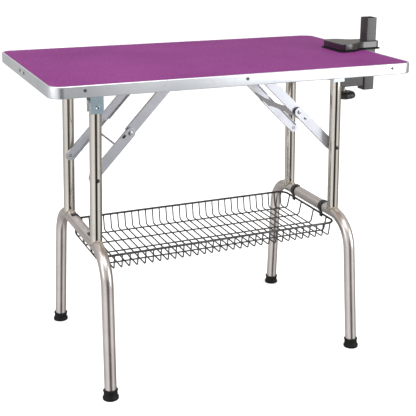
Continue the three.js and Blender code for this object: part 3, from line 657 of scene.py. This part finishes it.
def makeTrimRivets():
    # along the front and back, and a pair on each end
    head = turned(domeHead(trimRivet["radius"], trimRivet["height"], 0.6), 28)
    z = trimLow[2] + trimRivet["rise"]
    spots = [((topCentre[0] + x, y, z), (0, way, 0)) for x in trimRivet["frontX"]
             for y, way in ((trimLow[1], -1), (trimHigh[1], 1))]
    spots += [((x, y, z), (way, 0, 0)) for y in trimRivet["endY"]
              for x, way in ((trimLow[0], -1), (trimHigh[0], 1))]
    addPiece("trimRivets", [(standing(head, spot, way), False) for spot, way in spots],
             darkRivet, "tabletop")


makeTrimRivets()


fastener = {"boltHead": 5.3 * mm, "boltRise": 1.5 * mm, "boltShank": 4.9 * mm, "boltInset": 3 * mm,
            "kneeHead": 5.6 * mm, "kneeRise": 1.5 * mm, "pin": 3.9 * mm, "pinTip": 3.4 * mm,
            "pinTaper": 0.6 * mm, "pinShort": 1.4 * mm, "cap": 5.2 * mm, "capRise": 1.6 * mm,
            "capInset": 1.5 * mm}


def makeFasteners():
    pin = fastener["pin"]
    for side in sides:
        for row in rows:
            way = -1 if row == "front" else 1
            label = f"{side}_{row}"
            # hinge bolt: a plain shank through both cheeks, with a head at each end
            low, high = corners(f"hinge_bolt_{label}")
            spot = (low + high) / 2
            shank = fastener["boltShank"]
            half = (high[1] - low[1]) / 2 - fastener["boltInset"]
            outer = domeHead(fastener["boltHead"], fastener["boltRise"], 0.7) + [0, half]
            body = [(0, -half), (shank, -half), (shank, half), (0, half)]
            surfaces = [(standing(turned(outer, 32), spot, (0, end, 0)), False) for end in (-1, 1)]
            surfaces.append((standing(turned(body, 24), spot, (0, 1, 0)), False))
            addPiece(title("hingeBolt", side, row), surfaces, zinc, "tabletop",
                     [f"hinge_bolt_{label}"])

            # knee rivet on the brace's outer face
            low, high = corners(f"knee_rivet_{label}")
            spot = (low + high) / 2
            face = low[1] if way < 0 else high[1]
            inner = high[1] if way < 0 else low[1]
            lift = fastener["kneeRise"]
            spot[1] = face - way * lift
            reach = abs(inner - spot[1])
            rivet = [turned(domeHead(fastener["kneeHead"], lift), 32),
                     turned([(0, -reach), (pin, -reach), (pin, 0), (0, 0)], 24)]
            addPiece(title("kneeRivet", side, row),
                     [(standing(grid, spot, (0, way, 0)), False) for grid in rivet],
                     bolt, f"{side}_lower_braces", [f"knee_rivet_{label}"])

            # brace pin: through the upright, its inner end tapered, with a black cap outside
            low, high = corners(f"brace_pin_{label}")
            spot = (low + high) / 2
            half = (high[1] - low[1]) / 2
            end = half - fastener["pinShort"]
            shank = [(0, -half), (fastener["pinTip"], -half), (pin, -half + fastener["pinTaper"]),
                     (pin, end), (0, end)]
            addPiece(title("bracePin", side, row),
                     [(standing(turned(shank, 24), spot, (0, way, 0)), False)],
                     bolt, f"{side}_legs", [f"brace_pin_{label}"])
            cap = turned(domeHead(fastener["cap"], fastener["capRise"], 0.2), 32)
            spot[1] += way * (half - fastener["capInset"])
            addPiece(title("pinCap", side, row), [(standing(cap, spot, (0, way, 0)), False)],
                     plastic, f"{side}_legs")


makeFasteners()
print("fasteners made")


# Leg frames

legs = {"tubeRadius": 15 * mm, "wall": 1.5 * mm, "tilt": 1.0, "splay": 5.0, "track": 252 * mm,
        "footTrack": 484 * mm, "bendRadius": 85 * mm, "sole": 6 * mm, "aboveHinge": 12 * mm,
        "weldRadius": 2.3 * mm, "saddleEase": 2.5 * mm}


def legAxes(side):
    # the leg frame's own axes: X towards the table's middle, Z up along the leg
    way = 1 if side == "left" else -1
    tilt = math.radians(legs["tilt"])
    axisX = np.array([way * math.cos(tilt), 0, -math.sin(tilt)])
    axisZ = np.array([way * math.sin(tilt), 0, math.cos(tilt)])
    hinge = np.array(joints[f"{side}_leg_fold"]["pos_m"], float)
    return hinge, axisX, np.array([0, float(way), 0]), axisZ


def makeLegFrame(side):
    hinge, axisX, axisY, axisZ = legAxes(side)
    radius = legs["tubeRadius"]
    tilt, splay = math.radians(legs["tilt"]), math.radians(legs["splay"])
    crossbar = corners(f"{side}_bow")[1][2] - radius
    drop = (hinge[2] - crossbar) / math.cos(tilt)
    footDrop = (hinge[2] - legs["sole"]) / math.cos(tilt)

    # the bow: one tube bent from foot to foot
    def footY(height):
        return legs["footTrack"] / 2 - height * math.tan(splay)
    ends = [(0, -footY(legs["sole"]), -footDrop), (0, -footY(crossbar), -drop),
            (0, footY(crossbar), -drop), (0, footY(legs["sole"]), -footDrop)]
    path = rounded(ends, legs["bendRadius"], 28)
    bow = carried(path, circle(radius, 48), (1, 0, 0))
    addPiece(f"{side}Bow", [(placed(bow, hinge, axisX, axisY, axisZ), False)], satin, f"{side}_legs",
             [f"{side}_bow"])

    # the uprights: z runs from the saddle on the crossbar, which is sqrt((R sin a)^2 + ease^2)
    # above the crossbar's axis, to the rounded top end
    count = 64
    angle = np.linspace(0, 2 * np.pi, count, endpoint=False)
    for own in (-1, 1):
        row = "front" if (own < 0) == (side == "left") else "back"
        saddle = -drop + np.sqrt((radius * np.sin(angle)) ** 2 + legs["saddleEase"] ** 2)
        share = np.linspace(0, 1, 24)[:, None]
        top = legs["aboveHinge"]
        inner = radius - legs["wall"]
        height = saddle + (top - 0.5 * mm - saddle) * share

        def tubeWall(reach):
            return np.stack([reach * np.cos(angle) + 0 * height, reach * np.sin(angle) + 0 * height,
                             height], -1)
        rim = turned([(radius - 0.2 * mm, top - 0.1 * mm), (inner + 0.2 * mm, top - 0.1 * mm)], count)
        tube = np.concatenate([tubeWall(radius), rim, tubeWall(inner)[::-1]])
        tube = tube + [0, own * legs["track"] / 2, 0]
        addPiece(title(side, "upright", row), [(placed(tube, hinge, axisX, axisY, axisZ), True)],
                 polished, f"{side}_legs", [f"{side}_upright_{row}"])

        # the weld: a rippled bead along the saddle
        fine = np.linspace(0, 2 * np.pi, 220, endpoint=False)
        rise = np.sqrt((radius * np.sin(fine)) ** 2 + legs["saddleEase"] ** 2)
        line = np.stack([radius * np.cos(fine), radius * np.sin(fine), -drop + rise], -1)
        outward = np.stack([np.cos(fine), np.sin(fine), 0.35 + 0 * fine], -1)
        bead = carried(line, circle(1.0, 10), outward, True)
        ripple = legs["weldRadius"] * (1 + 0.16 * np.sin(44 * fine) + 0.08 * np.sin(7 * fine))
        bead = line[:, None] + (bead - line[:, None]) * ripple[:, None, None]
        bead = bead + [0, own * legs["track"] / 2, 0]
        addPiece(title(side, "weld", row), [(placed(bead, hinge, axisX, axisY, axisZ), True)], weld,
                 f"{side}_legs", crease=70)


footShape = {"base": 20 * mm, "neck": 17.2 * mm, "lip": 18.6 * mm, "height": 24 * mm,
             "below": 12 * mm, "bed": 0.3 * mm}


def makeFeet(side):
    hinge, _, axisY, _ = legAxes(side)
    tilt, splay = math.radians(legs["tilt"]), math.radians(legs["splay"])
    base, neck, lip = footShape["base"], footShape["neck"], footShape["lip"]
    top = footShape["height"] - legs["sole"]
    bore = legs["tubeRadius"] + 0.2 * mm
    below, bed = footShape["below"], footShape["bed"]
    # from the buried middle out to the base, up the neck, over the lip and down the bore
    profile = [(0, -below), (base - 1.5 * mm, -below), (base - 0.4 * mm, -6 * mm), (base, -4 * mm),
               (base, -1 * mm), (base - 1 * mm, 1 * mm), (neck + 0.4 * mm, 3.5 * mm), (neck, 6 * mm),
               (neck, top - 5 * mm), (neck + 0.5 * mm, top - 3.6 * mm), (lip, top - 2.8 * mm),
               (lip, top - 1.2 * mm), (lip - 0.8 * mm, top - 0.2 * mm), (bore + 0.6 * mm, top),
               (bore, top - 0.6 * mm), (bore, -bed), (0, -bed)]
    way = axisY[1]
    for own in (-1, 1):
        row = "front" if (own < 0) == (side == "left") else "back"
        lean = own * way
        axisZ = unit(np.array([way * math.sin(tilt), -lean * math.sin(splay), math.cos(splay)]))
        reach = legs["footTrack"] / 2 - legs["sole"] * math.tan(splay)
        fall = hinge[2] - legs["sole"]
        spot = hinge + [-way * fall * math.tan(tilt), lean * reach, -fall]
        cup = standing(turned(profile, 48), spot, axisZ)
        cup[..., 2] = np.maximum(cup[..., 2], 0)  # the sole is level with the floor
        addPiece(title(side, "foot", row), [(cup, False)], rubber, f"{side}_legs",
                 [f"foot_{side}_{row}"], 50)


for side in sides:
    makeLegFrame(side)
    makeFeet(side)
print("leg frames made")


# Brackets, braces and clips

eased = {"bracket": 0.5 * mm, "anchor": 0.4 * mm, "link": 0.6 * mm, "clip": 0.5 * mm, "plate": 0.3 * mm}


def makeBrackets():
    plate = "zinc_plate"
    for side in sides:
        upper, lower, leg = f"{side}_upper_braces", f"{side}_lower_braces", f"{side}_legs"
        # anchors, links and the cross plate take the zinc painted paler as painted light
        kinds = [("hingeBracket", "hinge_bracket", zinc, "tabletop", plate, eased["bracket"]),
                 ("braceAnchor", "brace_anchor", paintedLitZinc, "tabletop", plate, eased["anchor"]),
                 ("upperLink", "upper_link", paintedLitZinc, upper, plate, eased["link"]),
                 ("lowerLink", "lower_link", paintedLitZinc, lower, plate, eased["link"]),
                 ("basketClip", "basket_clip", plastic, leg, "clip", eased["clip"])]
        for row in rows:
            for name, node, finish, body, slot, bevel in kinds:
                refined(title(name, side, row), f"{node}_{side}_{row}", finish, body, bevel)
    refined("braceCrossPlate", "brace_cross_plate", paintedLitZinc, "right_upper_braces",
            eased["plate"])


makeBrackets()


lockShape = {"radius": 2.5 * mm, "ball": 4.2 * mm, "ballInset": 4 * mm}
screwShape = {"radius": 4.2 * mm, "rise": 1.4 * mm, "down": 26 * mm}
catchShape = {"length": 10 * mm, "width": 5 * mm, "height": 2.2 * mm, "corner": 1.2 * mm,
              "down": 16 * mm, "across": 7 * mm, "lift": 0.5 * mm, "sunk": 1.0 * mm}


def braceLine(side):
    # the knee of a side's lower braces, and the unit vector from their pin to it
    pin = np.array(joints[f"{side}_lower_brace_fold"]["pos_m"], float)
    knee = middle(f"knee_rivet_{side}_front")
    knee[1] = 0
    return knee, unit(knee - pin)


def makeLockRod():
    low, high = corners("lock_rod")
    spot = (low + high) / 2
    reach = (high[1] - low[1]) / 2
    radius = lockShape["radius"]
    path = np.array([spot + [0, y, 0] for y in np.linspace(-reach, reach, 12)])
    surfaces = [(carried(path, circle(radius, 24), (0, 0, 1)), False)]
    # a ball on each end, from (r cos t, r sin t)
    t = np.linspace(-np.pi / 2, np.pi / 2, 15)
    ball = turned(np.stack([np.cos(t), np.sin(t)], -1) * lockShape["ball"], 28)
    out = reach - lockShape["ballInset"]
    ends = [(ball + spot + [0, way * out, 0], False) for way in (-1, 1)]
    addPiece("lockRod", surfaces, bolt, "left_lower_braces", ["lock_rod"])
    addPiece("lockRodEnds", ends, plastic, "left_lower_braces")


def makeBraceScrews():
    # the right lower links carry a second screw, a little way down from the knee
    knee, along = braceLine("right")
    face = corners("lower_link_right_front")[0][1]
    head = crossHead(screwShape["radius"], screwShape["rise"])
    surfaces = []
    for way in (-1, 1):
        spot = knee - along * screwShape["down"]
        spot[1] = way * abs(face)
        surfaces.append((standing(head, spot, (0, way, 0)), False))
    addPiece("braceScrews", surfaces, bolt, "right_lower_braces")
    # the left ones have a catch: a small raised tab beside the rod
    knee, along = braceLine("left")
    across = np.array([-along[2], 0, along[0]])
    face = abs(corners("lower_link_left_front")[0][1])
    height = catchShape["height"]
    profile = [(0, -catchShape["sunk"]), (0, height * 0.6), (0.5 * mm, height * 0.9), (1.0 * mm, height)]
    tab = lofted(catchShape["length"] / 2, catchShape["width"] / 2, catchShape["corner"], profile,
                 (0, 0), 6)
    tabs = []
    for way in (-1, 1):
        spot = knee - along * catchShape["down"] + across * catchShape["across"]
        spot[1] = way * (face + catchShape["lift"])
        tabs.append((placed(tab, spot, along, np.cross([0, way, 0], along), (0, way, 0)), False))
    addPiece("braceCatches", tabs, plastic, "left_lower_braces")


makeLockRod()
makeBraceScrews()
print("braces made")


# Basket

wires = {"rim": 3 * mm, "cross": 1.9 * mm, "long": 2.1 * mm, "crossCount": 32, "longCount": 4,
         "bend": 8 * mm, "rimCorner": 26 * mm, "longPitch": 72 * mm, "lean": 8 * mm,
         "intoRim": 1 * mm, "endInset": 4 * mm}


def makeBasket():
    low, high = corners("basket_rim")
    floorHigh = corners("basket_floor")[1]
    centre = (low + high) / 2
    rimZ = centre[2]
    endZ = rimZ + wires["intoRim"]
    reachX, reachY = (high - low)[:2] / 2 - wires["rim"]
    floorX, floorY = reachX - wires["rim"] - wires["lean"], reachY - wires["rim"] - wires["lean"]
    floorZ = floorHigh[2] - wires["cross"]
    ring = outline(reachX, reachY, wires["rimCorner"], 12)
    path = np.c_[ring, np.full(len(ring), rimZ)] + [centre[0], 0, 0]
    surfaces = [(carried(path, circle(wires["rim"], 16), (0, 0, 1), True), True)]

    # cross wires, bent down from the rim, across the floor and up again
    inside = reachY - wires["rim"] - wires["cross"] * 0.4
    reachCross = floorX - wires["endInset"]
    for x in np.linspace(-reachCross, reachCross, wires["crossCount"]) + centre[0]:
        line = rounded([(x, -inside, endZ), (x, -floorY, floorZ), (x, floorY, floorZ), (x, inside, endZ)],
                       wires["bend"], 7)
        surfaces.append((carried(line, circle(wires["cross"], 8), (1, 0, 0)), False))

    # long wires lie on the cross wires and rise to the end rims
    longZ = floorZ + wires["cross"] + wires["long"] * 0.8
    insideX = reachX - wires["rim"] - wires["long"] * 0.4
    for step in range(wires["longCount"]):
        y = (step - (wires["longCount"] - 1) / 2) * wires["longPitch"]
        line = rounded([(-insideX, y, endZ), (-floorX, y, longZ), (floorX, y, longZ), (insideX, y, endZ)],
                       wires["bend"], 7) + [centre[0], 0, 0]
        surfaces.append((carried(line, circle(wires["long"], 8), (0, 1, 0)), False))
    nodes = ["basket_rim", "basket_floor", "basket_front_wall", "basket_back_wall", "basket_left_wall",
             "basket_right_wall"]
    addPiece("wireBasket", surfaces, wireCoat, "basket", nodes, 60)


makeBasket()
print("basket made")


# Clamp

clampShape = {"postRadius": 3.5 * mm, "postWall": 2.5 * mm, "postEdge": 0.5 * mm,
              "threadPitch": 3 * mm, "threadDepth": 0.9 * mm, "threadFade": 4 * mm,
              "knobLobes": 7, "knobDip": 3.2 * mm, "knobHub": 1.2 * mm,
              "jawEase": 2.6 * mm, "jawPadEase": 0.8 * mm, "armEase": 1.8 * mm, "padEase": 1.2 * mm}


def makePost():
    low, high = corners("clamp_post")
    centre = (low + high) / 2
    half = (high[0] - low[0]) / 2
    wall, edge = clampShape["postWall"], clampShape["postEdge"]
    profile = [(edge, low[2]), (0, low[2] + edge), (0, high[2] - edge), (edge, high[2]),
               (wall - edge, high[2]), (wall, high[2] - edge), (wall, low[2] + edge),
               (wall - edge, low[2])]
    post = lofted(half, half, clampShape["postRadius"], profile, centre, 8)
    addPiece("clampPost", [(post, True)], powder, "tabletop", ["clamp_post"], 30)


def makeScrew():
    # a thread: the radius dips along a helix, depth * (0.5 + 0.5 cos(angle - 2 pi z / pitch))
    low, high = corners("clamp_screw")
    centre = (low + high) / 2
    radius = (high[0] - low[0]) / 2
    length = high[2] - low[2]
    count = 24
    angle = np.linspace(0, 2 * np.pi, count, endpoint=False)[None, :]
    z = np.linspace(0, length, int(length / clampShape["threadPitch"] * 9))[:, None]
    wave = 0.5 + 0.5 * np.cos(angle - 2 * np.pi * z / clampShape["threadPitch"])
    fade = np.clip(np.minimum(z, length - z) / clampShape["threadFade"], 0, 1)
    reach = radius - clampShape["threadDepth"] * wave ** 2 * fade
    grid = np.stack([reach * np.cos(angle), reach * np.sin(angle), z + low[2] + 0 * angle], -1)
    addPiece("clampScrew", [(grid + [centre[0], centre[1], 0], False)], bolt, "clamp_screw",
             ["clamp_screw"], 80)


def makeKnob():
    # a lobed hand knob: its radius follows a super-ellipse in height and dips between lobes
    low, high = corners("clamp_knob")
    centre = (low + high) / 2
    radius = (high[0] - low[0]) / 2
    half = (high[2] - low[2]) / 2
    angle = np.linspace(0, 2 * np.pi, 168, endpoint=False)[None, :]
    t = np.linspace(-np.pi / 2, np.pi / 2, 33)[:, None]
    swell = np.abs(np.cos(t)) ** 0.55
    height = np.sign(np.sin(t)) * np.abs(np.sin(t)) ** 0.75
    lobe = (0.5 - 0.5 * np.cos(clampShape["knobLobes"] * angle)) ** 3
    reach = (radius - clampShape["knobDip"] * lobe) * swell
    hub = np.exp(-((reach - 0.42 * radius) / (0.1 * radius)) ** 2)
    z = centre[2] + half * height - np.sign(height) * hub * clampShape["knobHub"]
    grid = np.stack([reach * np.cos(angle), reach * np.sin(angle), z + 0 * angle], -1)
    addPiece("clampKnob", [(grid + [centre[0], centre[1], 0], False)], plastic, "clamp_screw",
             ["clamp_knob"], 60)


def makeClamp():
    makePost()
    makeScrew()
    makeKnob()
    refined("clampJaw", "clamp_jaw", enamel, "tabletop", clampShape["jawEase"])
    refined("jawPad", "jaw_pad", rubber, "tabletop", clampShape["jawPadEase"])
    refined("clampArm", "clamp_arm", powder, "tabletop", clampShape["armEase"])
    refined("pressurePad", "pressure_pad", rubber, "pressure_pad", clampShape["padEase"])


makeClamp()
print("clamp made")
